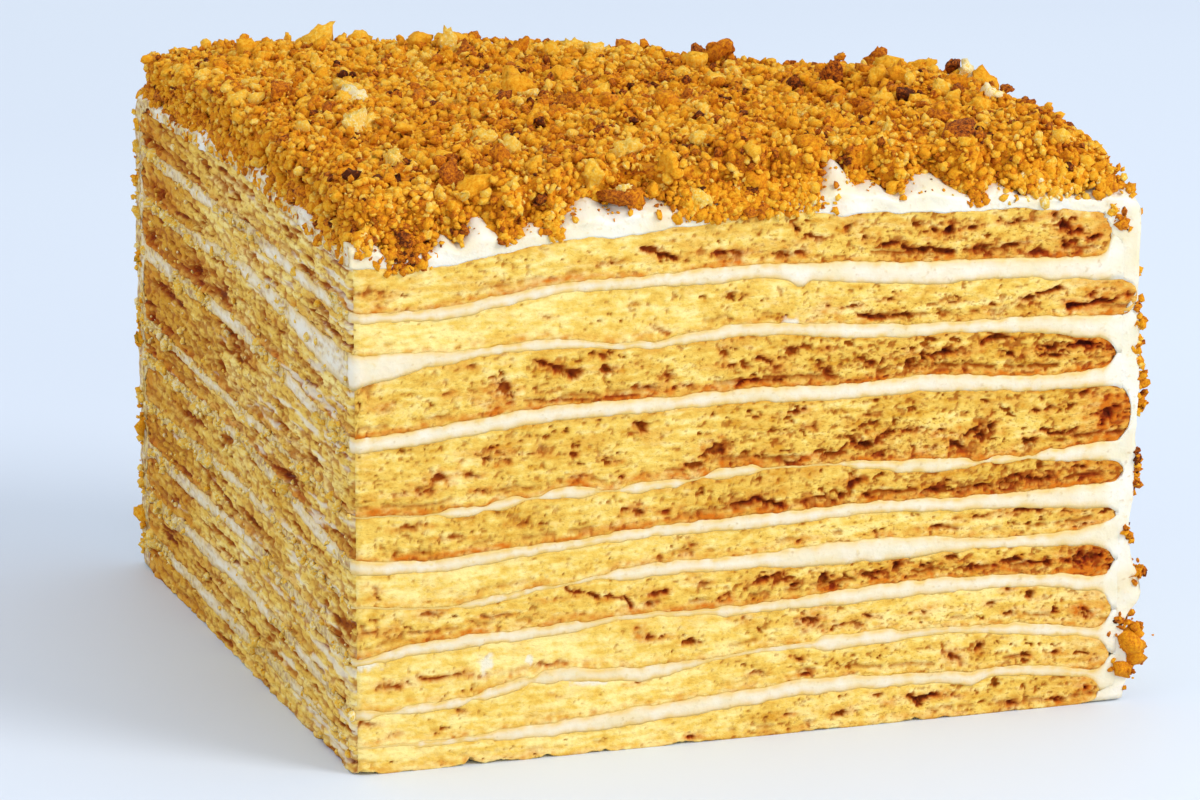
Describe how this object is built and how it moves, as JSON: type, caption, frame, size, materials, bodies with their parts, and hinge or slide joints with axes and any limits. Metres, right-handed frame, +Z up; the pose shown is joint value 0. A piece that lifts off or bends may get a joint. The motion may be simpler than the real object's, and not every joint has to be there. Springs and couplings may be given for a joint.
{
  "type": "slice of layered honey cake",
  "caption": "Quarter wedge of a round honey cake: thin sponges with cream between them, a cream coat on the top and round side, and a bed of crumbs on top.",
  "frame": {"origin": "middle of the footprint's bounding box, on the surface that the slice rests on", "axes": "+Z up through the layers; the front cut faces -Y and runs along +X from the tip to the rim; the side cut faces -X and runs along +Y from the tip to the rim"},
  "size_m": [0.1132, 0.1108, 0.0821],
  "materials": {
    "honey_sponge": "matt, open, crumbly baked sponge",
    "sour_cream": "soft satin, spread cream",
    "toasted_crumb": "matt, rough toasted crumbs"
  },
  "bodies": {
    "root": {"sponge_01": "honey_sponge", "sponge_02": "honey_sponge", "sponge_03": "honey_sponge", "sponge_04": "honey_sponge", "sponge_05": "honey_sponge", "sponge_06": "honey_sponge", "sponge_07": "honey_sponge", "sponge_08": "honey_sponge", "sponge_09": "honey_sponge", "sponge_10": "honey_sponge", "cream_01": "sour_cream", "cream_02": "sour_cream", "cream_03": "sour_cream", "cream_04": "sour_cream", "cream_05": "sour_cream", "cream_06": "sour_cream", "cream_07": "sour_cream", "cream_08": "sour_cream", "cream_09": "sour_cream", "cream_coat": "sour_cream", "crumb_topping": "toasted_crumb"}
  },
  "joints": []
}
